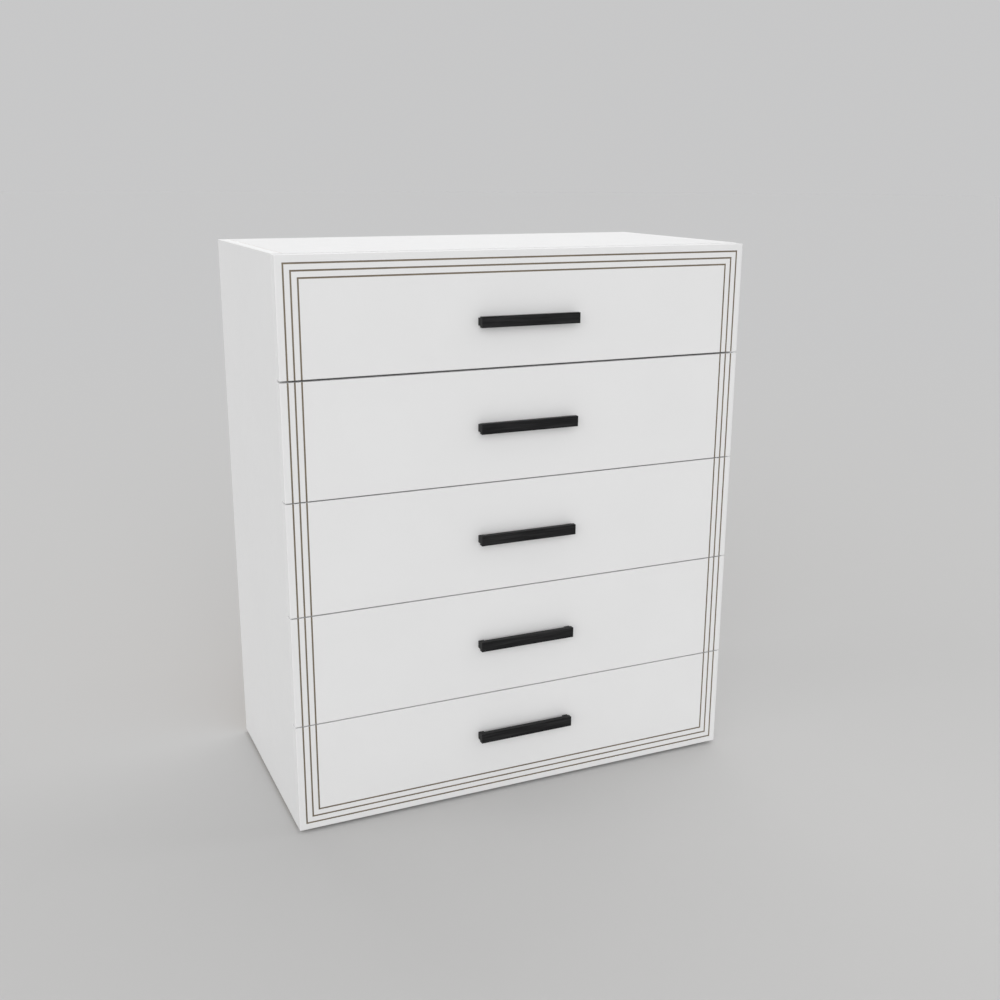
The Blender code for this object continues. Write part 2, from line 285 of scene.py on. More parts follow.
def addRelief(finish, source, depth, strength=1.0):
    bump = finish.node_tree.nodes.new("ShaderNodeBump")
    bump.inputs["Strength"].default_value = strength
    bump.inputs["Distance"].default_value = depth
    finish.node_tree.links.new(source, bump.inputs["Height"])
    feed(finish, "Normal", bump.outputs["Normal"])


def paintedFinish(name, colour, roughness, tint=0.985, grain=600.0, depth=0.00002, cloud=6.0, metallic=0.0):
    # A sprayed or foiled surface: cloudy tint, uneven gloss and a very fine grain.
    finish = newFinish(name, colour, roughness, metallic)
    clouds = addPattern(finish, "ShaderNodeTexNoise", Scale=cloud, Detail=4.0, Roughness=0.55)
    deeper = [tint * part for part in colour]
    feed(finish, "Base Color", ramp(finish, clouds.outputs["Fac"], [(0.35, deeper), (0.65, colour)]))
    patches = addPattern(finish, "ShaderNodeTexNoise", Scale=cloud * 7.0, Detail=5.0, Roughness=0.6)
    gloss = spread(finish, patches.outputs["Fac"], roughness * 0.88, roughness * 1.12)
    feed(finish, "Roughness", gloss)
    pores = addPattern(finish, "ShaderNodeTexNoise", Scale=grain, Detail=3.0, Roughness=0.5)
    addRelief(finish, pores.outputs["Fac"], depth)
    return finish


def chipboardFinish():
    # Sawn chipboard: flakes of many tans, pressed flat, with dark gaps between them.
    finish = newFinish("chipboard_core", (0.42, 0.28, 0.16), 0.88)
    flakes = addPattern(finish, "ShaderNodeTexVoronoi", (1.0, 1.0, 2.2), Scale=330.0)
    tones = [
        (0.0, (0.16, 0.085, 0.038)),
        (0.25, (0.36, 0.22, 0.115)),
        (0.6, (0.50, 0.34, 0.19)),
        (1.0, (0.66, 0.50, 0.31)),
    ]
    split = finish.node_tree.nodes.new("ShaderNodeSeparateColor")
    finish.node_tree.links.new(flakes.outputs["Color"], split.inputs["Color"])
    feed(finish, "Base Color", ramp(finish, split.outputs["Red"], tones))
    addRelief(finish, flakes.outputs["Distance"], 0.0004, 0.6)
    return finish


def hardboardFinish():
    # The bare side of a thin fibreboard: brown, close and slightly burnished.
    finish = newFinish("bare_hardboard", (0.30, 0.18, 0.095), 0.55)
    fibres = addPattern(finish, "ShaderNodeTexNoise", Scale=240.0, Detail=8.0, Roughness=0.7)
    tones = [(0.3, (0.215, 0.122, 0.062)), (0.5, (0.30, 0.18, 0.095)), (0.7, (0.385, 0.245, 0.138))]
    feed(finish, "Base Color", ramp(finish, fibres.outputs["Fac"], tones))
    patches = addPattern(finish, "ShaderNodeTexNoise", Scale=14.0, Detail=4.0)
    feed(finish, "Roughness", spread(finish, patches.outputs["Fac"], 0.46, 0.64))
    addRelief(finish, fibres.outputs["Fac"], 0.00008)
    return finish


def zincFinish():
    # Zinc-plated steel: a dull grain in its tone and its gloss.
    colour = (0.66, 0.66, 0.64)
    roughness = 0.34
    finish = newFinish("zinc_plated_steel", colour, roughness, 1.0)
    grain = addPattern(finish, "ShaderNodeTexNoise", Scale=700.0, Detail=5.0, Roughness=0.65)
    feed(finish, "Roughness", spread(finish, grain.outputs["Fac"], roughness * 0.75, roughness * 1.3))
    duller = [0.82 * part for part in colour]
    feed(finish, "Base Color", ramp(finish, grain.outputs["Fac"], [(0.3, duller), (0.7, colour)]))
    addRelief(finish, grain.outputs["Fac"], 0.00002)
    return finish


def brushedBlackFinish():
    # Black coated metal, brushed lengthwise before it was coated.
    dark = (0.0055, 0.0055, 0.006)
    middle = (0.013, 0.013, 0.0135)
    pale = (0.0255, 0.0255, 0.026)
    finish = newFinish("handle_black", middle, 0.50, specular=0.12)
    streaks = addPattern(
        finish, "ShaderNodeTexNoise", (0.035, 1.0, 1.0), Scale=520.0, Detail=4.0, Roughness=0.6
    )
    tones = [(0.32, dark), (0.5, middle), (0.68, pale)]
    feed(finish, "Base Color", ramp(finish, streaks.outputs["Fac"], tones))
    feed(finish, "Roughness", spread(finish, streaks.outputs["Fac"], 0.42, 0.58))
    addRelief(finish, streaks.outputs["Fac"], 0.00005)
    return finish


frontLacquer = paintedFinish("front_lacquer", (0.80, 0.80, 0.80), 0.36, grain=420.0, depth=0.000015)
boardFoil = paintedFinish("board_foil", (0.785, 0.785, 0.785), 0.46, grain=900.0, depth=0.00003)
bandPlastic = paintedFinish("edge_band", (0.80, 0.80, 0.80), 0.34, grain=1500.0, depth=0.00001)
linePaint = paintedFinish(
    "bronze_line_paint", (0.252, 0.206, 0.146), 0.42, tint=0.80, cloud=55.0, metallic=0.25
)
handleBlack = brushedBlackFinish()
runnerPaint = paintedFinish("runner_enamel", (0.74, 0.74, 0.73), 0.30, grain=800.0, cloud=30.0)
nylon = paintedFinish("roller_nylon", (0.70, 0.69, 0.65), 0.42, tint=0.93, cloud=90.0)
capPlastic = paintedFinish("cap_plastic", (0.78, 0.78, 0.77), 0.38, cloud=80.0)
glidePlastic = paintedFinish("glide_plastic", (0.26, 0.26, 0.265), 0.48, tint=0.88, cloud=70.0)
thinWhite = paintedFinish("thin_board_white", (0.77, 0.77, 0.76), 0.40, grain=500.0)
chipboard = chipboardFinish()
hardboard = hardboardFinish()
zinc = zincFinish()
print("finishes ready")


shot = {
    "place": (-0.80103, -1.87406, 1.04264),
    "yaw": -24.159,  # degrees, as are pitch and roll
    "pitch": -15.636,
    "roll": 0.280,
    "lens": 42.355,  # millimetres, as is the sensor
    "sensor": 36.0,
    "nearest": 0.05,
}
studio = {
    "skyColour": (0.99, 0.99, 0.995),
    "skyStrength": 0.58,
    "floorNear": (0.575, 0.572, 0.567),
    "floorFar": (0.570, 0.570, 0.571),
    "floorFade": (1.2, 6.0),  # distances from the middle between which the floor turns to its far tone
    "floorRadius": 60.0,
    "floorSides": 96,
    "floorDrop": 0.0004,  # under the glides
    "lampDistance": 3.0,
    # name, bearing from the front towards the right, height above the floor, width (degrees), strength
    "lamps": (
        ("lamp_front", -24.0, 16.0, 60.0, 1.42),
        ("lamp_left", -84.0, 20.0, 60.0, 0.68),
        ("lamp_right", 100.0, 25.0, 60.0, 0.84),
        ("lamp_rear", 160.0, 35.0, 60.0, 0.60),
    ),
}


def floorFinish():
    # Plain paint, a little warmer round the chest, that runs out into the sky's own tone.
    finish = newFinish("floor_paint", studio["floorNear"], 0.8, specular=0.0)
    nodes = finish.node_tree.nodes
    points = nodes.new("ShaderNodeTexCoord")
    distance = nodes.new("ShaderNodeVectorMath")
    distance.operation = "LENGTH"
    finish.node_tree.links.new(points.outputs["Object"], distance.inputs[0])
    share = spread(finish, distance.outputs["Value"], 0.0, 1.0, *studio["floorFade"])
    feed(finish, "Base Color", ramp(finish, share, [(0.0, studio["floorNear"]), (1.0, studio["floorFar"])]))
    return finish


def makeCamera():
    bpy.ops.object.camera_add(location=shot["place"])
    camera = bpy.context.object
    camera.name = "camera"
    camera.data.lens = shot["lens"]
    camera.data.sensor_width = shot["sensor"]
    camera.data.clip_start = shot["nearest"]
    turn = Matrix.Rotation(radians(shot["yaw"]), 3, "Z")
    tilt = Matrix.Rotation(radians(90.0 + shot["pitch"]), 3, "X")
    roll = Matrix.Rotation(radians(shot["roll"]), 3, "Z")
    camera.rotation_euler = (turn @ tilt @ roll).to_euler()
    bpy.context.scene.camera = camera


def makeSky():
    world = bpy.data.worlds.new("studio_sky")
    world.use_nodes = True
    background = world.node_tree.nodes["Background"]
    background.inputs["Color"].default_value = (*studio["skyColour"], 1.0)
    background.inputs["Strength"].default_value = studio["skyStrength"]
    bpy.context.scene.world = world
    bpy.context.scene.view_settings.view_transform = "Standard"


def makeLamp(name, bearing, height, width, strength):
    # Very wide and far away, so that it lights a whole face evenly.
    around = radians(bearing)
    up = radians(height)
    away = Vector((sin(around) * cos(up), -cos(around) * cos(up), sin(up)))
    bpy.ops.object.light_add(type="SUN", location=studio["lampDistance"] * away)
    lamp = bpy.context.object
    lamp.name = name
    lamp.data.angle = radians(width)
    lamp.data.energy = strength
    lamp.rotation_euler = away.to_track_quat("Z", "Y").to_euler()


def makeFloor():
    bpy.ops.object.select_all(action="DESELECT")
    bpy.ops.mesh.primitive_circle_add(
        vertices=studio["floorSides"], radius=studio["floorRadius"], fill_type="NGON"
    )
    floor = takeName(bpy.context.object, "floor")
    floor.location.z = -studio["floorDrop"]
    applyPlace(floor)
    wear(floor, floorFinish())


makeCamera()
makeSky()
for lamp in studio["lamps"]:
    makeLamp(*lamp)
makeFloor()
print("camera, lights and floor ready")


panHead = {
    "radius": 0.0040,
    "height": 0.0024,
    "crown": 0.0012,
    "crossWidth": 0.0011,
    "crossDepth": 0.0014,
    "shank": 0.0019,  # radius
    "length": 0.0235,
}
flatHead = {
    "radius": 0.0033,
    "height": 0.0006,
    "crown": 0.0003,
    "crossWidth": 0.0010,
    "crossDepth": 0.0004,
    "shank": 0.0,  # none: its head alone shows
    "sink": 0.0004,  # how deep the head is let in
}
screwShares = {"crossReach": 0.62, "tipInset": 0.35, "tipLength": 0.6}  # of the head's or shank's radius
nailHead = {"radius": 0.0024, "height": 0.0007, "crown": 0.0003, "crownInset": 0.00108, "round": 0.00015}
cap = {
    "radius": 0.0068,
    "height": 0.0009,
    "crown": 0.0004,
    "slotWidth": 0.0016,
    "slotLength": 0.0075,
    "slotFloor": 0.00036,
}
turnStep = 0.7  # between one fastener of a row and the next, in radians


def makeScrew(name, head):
    screw = addDrum(name, head["radius"], head["height"], 24)
    startEditing(screw, "EDGE")
    pickEdges(screw, lambda a, b: min(a.z, b.z) > head["height"] - near)
    bevelPicked(head["crown"], 3)
    stopEditing()
    top = head["height"]
    long = head["radius"] * screwShares["crossReach"]
    short = head["crossWidth"] / 2
    for x, y in ((long, short), (short, long)):
        arm = addBlock("recess", (-x, -y, top - head["crossDepth"]), (x, y, top + overcut))
        cutWith(screw, arm)
    if head["shank"]:
        shank = addDrum("shank", head["shank"], head["length"], 12, -head["length"])
        startEditing(shank, "FACE")
        pickFaces(shank, lambda c, n: n.z < -0.9)
        bpy.ops.mesh.inset(thickness=head["shank"] * screwShares["tipInset"])
        bpy.ops.transform.translate(value=(0.0, 0.0, -head["shank"] * screwShares["tipLength"]))
        stopEditing()
        screw = joinAll(name, [screw, shank])
    wear(screw, zinc)
    smoothSurface(screw)
    return screw


def makeNail(name):
    nail = addDrum(name, nailHead["radius"], nailHead["height"], 20)
    startEditing(nail, "FACE")
    pickFaces(nail, lambda c, n: n.z > 0.9)
    bpy.ops.mesh.inset(thickness=nailHead["crownInset"])
    bpy.ops.transform.translate(value=(0.0, 0.0, nailHead["crown"]))
    stopEditing()
    roundEdges(nail, nailHead["round"], 2, 25.0)
    wear(nail, zinc)
    smoothSurface(nail)
    return nail


def makeCap(name):
    # A cover cap over a cam fitting, with a slot to lift it by.
    lid = addDrum(name, cap["radius"], cap["height"], 32)
    startEditing(lid, "EDGE")
    pickEdges(lid, lambda a, b: min(a.z, b.z) > cap["height"] - near)
    bevelPicked(cap["crown"], 3)
    stopEditing()
    slot = addBlock(
        "slot",
        (-cap["slotLength"] / 2, -cap["slotWidth"] / 2, cap["slotFloor"]),
        (cap["slotLength"] / 2, cap["slotWidth"] / 2, cap["height"] + overcut),
    )
    cutWith(lid, slot)
    wear(lid, capPlastic)
    smoothSurface(lid)
    return lid


panScrew = makeScrew("pan_screw", panHead)
flatScrew = makeScrew("flat_screw", flatHead)
nailPattern = makeNail("nail_pattern")
capPattern = makeCap("cap_pattern")


def scatter(name, source, places, direction):
    # Copies of one small fastener, each turned a little differently, joined into one piece.
    copies = [
        placeCopy(source, f"{name}_{index}", place, direction, turnStep * index)
        for index, place in enumerate(places)
    ]
    return joinAll(name, copies)


print("fasteners ready")


boards = {
    "band": 0.001,  # thickness of the edge bands
    "bandRound": 0.0007,
    "edge": 0.00025,  # the sawn edges' own softening
    "thinEdge": 0.0002,  # the same of the thin boards
    "slotDepth": 0.006,
    "slotPlay": 0.0003,
    "nails": 8,
    "nailFromEnd": 0.03,
    "capFromEnd": 0.026,
    "capFromFront": 0.055,
    "capFromRear": 0.075,
}


def makeBand(name, low, high, outer):
    # A strip of edge band. outer is the direction that its face looks in.
    band = addBlock(name, low, high)
    axis = max(range(3), key=lambda k: abs(outer[k]))
    face = (high if outer[axis] > 0 else low)[axis]
    startEditing(band, "EDGE")
    pickEdges(band, lambda a, b: abs(a[axis] - face) < near and abs(b[axis] - face) < near)
    bevelPicked(boards["bandRound"], 3)
    stopEditing()
    wear(band, bandPlastic)
    smoothSurface(band)
    mount(band, "carcass", "white_board")


def isBroad(centre, normal, axis, low, high):
    # Whether a face lies on one of the two broad sides of a board.
    depth = min(abs(centre[axis] - low[axis]), abs(centre[axis] - high[axis]))
    return abs(normal[axis]) > 0.7 and depth < skin


def foilOnFaces(board, axis, low, high):
    # Foil on the two broad faces, bare chipboard everywhere else.
    wear(board, boardFoil, chipboard)
    paintFaces(board, lambda c, n, old: 0 if isBroad(c, n, axis, low, high) else 1)


def makeSidePanel(side):
    node = f"side_panel_{side}"
    low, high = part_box(node)
    backLow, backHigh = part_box("back_panel")
    band = boards["band"]
    boardLow = Vector((low.x, low.y + band, low.z))
    boardHigh = Vector((high.x, high.y, high.z - band))
    board = addBlock(f"side_{side}_board", boardLow, boardHigh)
    roundEdges(board, boards["edge"])
    inner = high.x if side == "left" else low.x
    deep = boards["slotDepth"] * (-1 if side == "left" else 1)
    reach = sorted((inner + deep, inner - deep))
    slot = addBlock(
        "slot",
        (reach[0], backLow.y - boards["slotPlay"], low.z - overcut),
        (reach[1], backHigh.y + boards["slotPlay"], backHigh.z + fitGap),
    )
    cutWith(board, slot)
    foilOnFaces(board, 0, boardLow, boardHigh)
    smoothSurface(board)
    mount(board, "carcass", "white_board", node)
    makeBand(f"side_{side}_band_front", low, (high.x, low.y + band, high.z), (0, -1, 0))
    makeBand(f"side_{side}_band_top", (low.x, low.y + band, high.z - band), high, (0, 0, 1))


def makeLevelPanel(part):
    # The top or the bottom board, between the sides. The top one has a slot for the back panel.
    node = f"{part}_panel"
    low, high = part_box(node)
    grow = Vector((fitGap - hairGap, 0.0, 0.0))
    low = low - grow
    high = high + grow
    boardLow = Vector((low.x, low.y + boards["band"], low.z))
    board = addBlock(f"{part}_board", boardLow, high)
    roundEdges(board, boards["edge"])
    if part == "top":
        backLow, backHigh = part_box("back_panel")
        slot = addBlock(
            "slot",
            (low.x - overcut, backLow.y - boards["slotPlay"], low.z - overcut),
            (high.x + overcut, backHigh.y + boards["slotPlay"], low.z + boards["slotDepth"]),
        )
        cutWith(board, slot)
    foilOnFaces(board, 2, boardLow, high)
    smoothSurface(board)
    mount(board, "carcass", "white_board", node)
    makeBand(f"{part}_band_front", low, (high.x, boardLow.y, high.z), (0, -1, 0))


def makeBackPanel():
    low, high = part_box("back_panel")
    board = addBlock("back_board", low, high)
    roundEdges(board, boards["thinEdge"])
    wear(board, thinWhite, hardboard)
    paintFaces(board, lambda c, n, old: 0 if n.y < -0.7 else 1)
    smoothSurface(board)
    mount(board, "carcass", "thin_board", "back_panel")


def makeBackNails():
    # A row along the bottom board's rear edge, which the back panel covers.
    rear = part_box("back_panel")[1].y
    low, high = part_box("bottom_panel")
    first = low.x + boards["nailFromEnd"]
    spacing = (high.x - boards["nailFromEnd"] - first) / (boards["nails"] - 1)
    middleZ = (low.z + high.z) / 2
    places = [(first + index * spacing, rear, middleZ) for index in range(boards["nails"])]
    mount(scatter("back_board_nails", nailPattern, places, (0, 1, 0)), "carcass", "runner_steel")


def makeCarcassCaps(part):
    # Caps over the cam fittings, under the board, at the side panels.
    low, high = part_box(f"{part}_panel")
    rows = (low.x + boards["capFromEnd"], high.x - boards["capFromEnd"])
    ends = (low.y + boards["capFromFront"], high.y - boards["capFromRear"])
    places = [(x, y, low.z) for x in rows for y in ends]
    caps = scatter(f"{part}_board_caps", capPattern, places, (0, 0, -1))
    mount(caps, "carcass", "white_board")


for side in sideNames:
    makeSidePanel(side)
makeLevelPanel("top")
makeLevelPanel("bottom")
makeBackPanel()
makeBackNails()
makeCarcassCaps("top")
makeCarcassCaps("bottom")
print("carcass boards ready")


glide = {"rim": 0.002, "taper": 0.0015, "recess": 0.0016, "recessRadius": 0.0036, "round": 0.0004}


def makeGlides():
    low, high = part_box("glide_centre")
    radius = (high.x - low.x) / 2
    pad = addDrum("glide_pattern", radius, high.z - low.z, 40)
    startEditing(pad, "FACE")
    bpy.ops.mesh.select_all(action="SELECT")
    bpy.ops.mesh.bisect(plane_co=(0, 0, glide["rim"]), plane_no=(0, 0, 1))
    pickFaces(pad, lambda c, n: n.z < -0.9)
    share = (radius - glide["taper"]) / radius
    bpy.ops.transform.resize(value=(share, share, 1.0), center_override=(0.0, 0.0, 0.0))
    bpy.ops.mesh.inset(thickness=radius - glide["taper"] - glide["recessRadius"])
    moveOut((0.0, 0.0, glide["recess"]))
    stopEditing()
    roundEdges(pad, glide["round"], 3, 25.0)
    wear(pad, glidePlastic, zinc)
    nail = placeCopy(nailPattern, "glide_nail", (0, 0, glide["recess"]), (0, 0, -1))
    wear(nail, glidePlastic, zinc)
    paintFaces(nail, lambda c, n, old: 1)
    pad = joinAll("glide_pattern", [pad, nail])
    smoothSurface(pad)
    for name in ("front_left", "front_right", "rear_left", "rear_right", "centre"):
        nodeLow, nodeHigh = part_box("glide_" + name)
        centre = (nodeLow + nodeHigh) / 2
        copy = copyPiece(pad, f"glide_{name}_pad", (centre.x, centre.y, nodeLow.z))
        mount(copy, "carcass", "grey_plastic", "glide_" + name)
    bpy.data.objects.remove(pad)


makeGlides()
print("glides ready")


front = {
    "round": 0.0010,  # of the face's outline and of the four corners
    "backRound": 0.0003,
    "slotDepth": 0.006,
}
lines = {"count": 3, "inset": 0.012, "pitch": 0.0107, "width": 0.0026, "depth": 0.0012, "round": 0.0007}


def makeLineCutter():
    # Three mitred frames round the whole field of fronts, each a channel with a rounded floor.
    topLow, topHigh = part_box("drawer_1_front")
    bottomLow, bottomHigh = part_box("drawer_5_front")
    floorY = topLow.y + lines["depth"]
    rings = []
    for index in range(lines["count"]):
        outer = lines["inset"] + index * lines["pitch"] - lines["width"] / 2
        width = topHigh.x - topLow.x - 2 * outer
        height = topHigh.z - bottomLow.z - 2 * outer
        middle = (0.0, floorY, (topHigh.z + bottomLow.z) / 2)
        bpy.ops.object.select_all(action="DESELECT")
        bpy.ops.mesh.primitive_plane_add(size=1.0, location=middle, rotation=(pi / 2, 0, 0))
        ring = takeName(bpy.context.object, f"line_{index + 1}")
        ring.scale = (width, height, 1.0)
        applyPlace(ring)
        startEditing(ring, "FACE")
        bpy.ops.mesh.select_all(action="SELECT")
        bpy.ops.mesh.inset(thickness=lines["width"])
        bpy.ops.mesh.delete(type="FACE")
        bpy.ops.mesh.select_all(action="SELECT")
        moveOut((0.0, -lines["depth"] - overcut, 0.0))
        bpy.ops.mesh.select_mode(type="EDGE")
        pickEdges(
            ring,
            lambda a, b: min(a.y, b.y) > floorY - near
            and (abs(a.x - b.x) < near or abs(a.z - b.z) < near),
        )
        bevelPicked(lines["round"], 3)
        stopEditing()
        faceOutwards(ring)
        rings.append(ring)
    cutter = joinAll("line_cutter", rings)
    wear(cutter, frontLacquer, linePaint)
    paintFaces(cutter, lambda c, n, old: 1)
    return cutter


def makeFront(number, lineCutter):
    node = f"drawer_{number}_front"
    low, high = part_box(node)
    panel = addBlock(f"{node}_panel", low, high)
    startEditing(panel, "EDGE")
    pickEdges(panel, lambda a, b: min(a.y, b.y) < low.y + near)
    bevelPicked(front["round"], 4)
    pickEdges(panel, lambda a, b: min(a.y, b.y) > high.y - near)
    bevelPicked(front["backRound"], 2)
    stopEditing()
    wear(panel, frontLacquer, linePaint, boardFoil)
    cutWith(panel, lineCutter, keep=True)
    bottomLow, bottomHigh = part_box(f"drawer_{number}_bottom")
    slot = addBlock(
        "slot",
        (bottomLow.x - 2 * fitGap, high.y - front["slotDepth"], bottomLow.z - fitGap),
        (bottomHigh.x + 2 * fitGap, high.y + overcut, bottomHigh.z + fitGap),
    )
    cutWith(panel, slot)
    paintFaces(panel, lambda c, n, old: 2 if c.y > high.y - near else old)
    smoothSurface(panel)
    mount(panel, f"drawer_{number}", "white_board", node)


lineCutter = makeLineCutter()
for number in drawerNumbers:
    makeFront(number, lineCutter)
bpy.data.objects.remove(lineCutter)
print("drawer fronts ready")


handle = {
    "barThick": 0.0085,
    "edge": 0.0005,
    "footHeight": 0.012,
    "footWidth": 0.0096,
    "spacing": 0.160,
}


def makeHandlePattern():
    # The bar is a block whose back is divided, and the two feet are drawn out of it.
    low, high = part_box("drawer_1_handle")
    middle = (low + high) / 2
    barBack = low.y + handle["barThick"]
    bar = addBlock("handle_pattern", low, (high.x, barBack, high.z))
    footEnds = [
        middle.x + sign * handle["spacing"] / 2 + half * handle["footWidth"] / 2
        for sign in (-1, 1)
        for half in (-1, 1)
    ]
    planes = [((x, 0, 0), (1, 0, 0)) for x in footEnds]
    planes += [((0, 0, middle.z + s * handle["footHeight"] / 2), (0, 0, 1)) for s in (-1, 1)]
    startEditing(bar, "FACE")
    for place, normal in planes:
        pickFaces(bar, lambda c, n: n.y > 0.9)
        bpy.ops.mesh.bisect(plane_co=place, plane_no=normal)
    pickFaces(
        bar,
        lambda c, n: n.y > 0.9
        and abs(c.z - middle.z) < handle["footHeight"] / 2
        and abs(abs(c.x - middle.x) - handle["spacing"] / 2) < handle["footWidth"] / 2,
    )
    moveOut((0.0, high.y - barBack, 0.0))
    stopEditing()
    roundEdges(bar, handle["edge"], 3)
    wear(bar, handleBlack)
    smoothSurface(bar)
    return bar


def makeHandles():
    pattern = makeHandlePattern()
    for number in drawerNumbers:
        node = f"drawer_{number}_handle"
        grip = copyPiece(pattern, f"{node}_bar", stepBetween("drawer_1_handle", node))
        mount(grip, f"drawer_{number}", "black_handle", node)
        low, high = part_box(node)
        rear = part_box(f"drawer_{number}_front")[1].y
        places = [(s * handle["spacing"] / 2, rear, (low.z + high.z) / 2) for s in (-1, 1)]
        screws = scatter(f"{node}_screws", panScrew, places, (0, 1, 0))
        mount(screws, f"drawer_{number}", "runner_steel")
    bpy.data.objects.remove(pattern)


makeHandles()
print("handles ready")


box = {
    "edge": 0.0004,
    "slotDepth": 0.006,
    "capFromFront": 0.034,
    "capFromEdge": 0.030,
    "screwFromEdge": 0.026,
    "bandReach": 0.001,  # how far down from the top edge its band goes
    "nailFromRear": 0.006,
    "nailPlaces": (-0.25, 0.0, 0.25),
}


def dressBoxBoard(board, axis, low, high):
    # Foil on the broad faces, edge band on the top edge, bare chipboard on the rest.
    wear(board, boardFoil, chipboard, bandPlastic)

    def choose(centre, normal, old):
        if normal.z > 0.5 and centre.z > high.z - box["bandReach"]:
            return 2
        return 0 if isBroad(centre, normal, axis, low, high) else 1

    paintFaces(board, choose)
    smoothSurface(board)


def makeBoxSide():
    node = "drawer_1_side_right"
    low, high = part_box(node)
    bottomLow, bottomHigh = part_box("drawer_1_bottom")
    board = addBlock("box_side_pattern", low, high)
    roundEdges(board, box["edge"])
    slot = addBlock(
        "slot",
        (low.x - overcut, low.y - overcut, bottomLow.z - fitGap),
        (low.x + box["slotDepth"], high.y + overcut, bottomHigh.z + fitGap),
    )
    cutWith(board, slot)
    dressBoxBoard(board, 0, low, high)
    return board


def makeBoxBack():
    low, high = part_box("drawer_1_back")
    grow = Vector((fitGap - hairGap, 0.0, 0.0))
    board = addBlock("box_back_pattern", low - grow, high + grow)
    roundEdges(board, box["edge"])
    dressBoxBoard(board, 1, low, high)
    return board


def makeBoxBottom():
    low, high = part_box("drawer_1_bottom")
    board = addBlock("box_bottom_pattern", low, high)
    roundEdges(board, boards["thinEdge"])
    wear(board, thinWhite, hardboard)
    paintFaces(board, lambda c, n, old: 0 if n.z > 0.7 else 1)
    smoothSurface(board)
    return board


def makeBoxFasteners(number):
    body = f"drawer_{number}"
    caps = []
    screws = []
    for side, sign in zip(sideNames, (-1, 1)):
        low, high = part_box(f"{body}_side_{side}")
        inner = high.x if side == "left" else low.x
        outer = low.x if side == "left" else high.x
        heights = (low.z + box["capFromEdge"], high.z - box["capFromEdge"])
        capPlaces = [(inner, low.y + box["capFromFront"], z) for z in heights]
        caps.append(scatter(f"{body}_caps_{side}", capPattern, capPlaces, (-sign, 0, 0)))
        backLow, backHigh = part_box(f"{body}_back")
        backY = (backLow.y + backHigh.y) / 2
        rows = (backLow.z + box["screwFromEdge"], backHigh.z - box["screwFromEdge"])
        screwPlaces = [(outer - sign * flatHead["sink"], backY, z) for z in rows]
        screws.append(scatter(f"{body}_box_screws_{side}", flatScrew, screwPlaces, (sign, 0, 0)))
    mount(joinAll(f"{body}_caps", caps), body, "white_board")
    mount(joinAll(f"{body}_box_screws", screws), body, "runner_steel")
    low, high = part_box(f"{body}_bottom")
    places = [(x, high.y - box["nailFromRear"], low.z) for x in box["nailPlaces"]]
    nails = scatter(f"{body}_bottom_nails", nailPattern, places, (0, 0, -1))
    mount(nails, body, "runner_steel")


def makeDrawerBoxes():
    side = makeBoxSide()
    otherSide = mirrorPiece(side, "box_side_left_pattern")
    smoothSurface(otherSide)
    patterns = {
        "side_right": (side, "white_board"),
        "side_left": (otherSide, "white_board"),
        "back": (makeBoxBack(), "white_board"),
        "bottom": (makeBoxBottom(), "thin_board"),
    }
    for number in drawerNumbers:
        for part, (pattern, slotName) in patterns.items():
            node = f"drawer_{number}_{part}"
            copy = copyPiece(pattern, f"{node}_board", stepBetween(f"drawer_1_{part}", node))
            mount(copy, f"drawer_{number}", slotName, node)
        makeBoxFasteners(number)
    for pattern, slotName in patterns.values():
        bpy.data.objects.remove(pattern)


makeDrawerBoxes()
print("drawer boxes ready")


runner = {
    "steel": 0.0012,
    "fold": 0.0011,  # radius at the middle of a fold
    "trackPlay": 0.0015,
    "rollerPlay": 0.0008,
    "rollerRadius": 0.0075,
    "rollerWidth": 0.007,
    "rollerRim": 0.0022,
    "rollerDish": 0.0009,
    "rollerRound": 0.0004,
    "frontSetback": 0.038,
    "rearSetback": 0.032,
    "shelfReach": 0.010,
    "lipReach": 0.006,
    "slotSize": (0.012, 0.0042),  # along the strip, and high
    "slotRound": 0.49,  # share of the slot's height
    "slotPlaces": (0.2, 0.32, 0.62, 0.78),  # shares of the strip's length
    "firstScrew": 0.012,  # from the cabinet strip's front end
    "cabinetScrews": (0.5, 0.93),  # shares of the strip's length
    "drawerScrews": (0.08, 0.47, 0.8),
    "edge": 0.0002,
    "hub": 0.0026,
    "rivet": 0.0024,
    "rivetCrown": 0.0006,
}


def foldStrip(name, section, startY, endY):
    # A plane for the first leg, whose edge is drawn on for each next leg.
    firstX, firstZ = section[0]
    nextX = section[1][0]
    middle = ((firstX + nextX) / 2, (startY + endY) / 2, firstZ)
    bpy.ops.object.select_all(action="DESELECT")
    bpy.ops.mesh.primitive_plane_add(size=1.0, location=middle)
    strip = takeName(bpy.context.object, name)
    strip.scale = (nextX - firstX, endY - startY, 1.0)
    applyPlace(strip)

    def standsAt(point):
        x, z = point
        return lambda a, b: all(abs(p.x - x) < near and abs(p.z - z) < near for p in (a, b))

    startEditing(strip, "EDGE")
    for here, there in zip(section[1:], section[2:]):
        pickEdges(strip, standsAt(here))
        moveOut((there[0] - here[0], 0.0, there[1] - here[1]))
    for corner in section[1:-1]:
        pickEdges(strip, standsAt(corner))
        bevelPicked(runner["fold"], 3)
    stopEditing()
    wall = strip.modifiers.new("wall", "SOLIDIFY")
    wall.thickness = runner["steel"]
    wall.offset = 0.0
    wall.use_even_offset = True
    applyChange(strip, wall)
    faceOutwards(strip)
    return strip


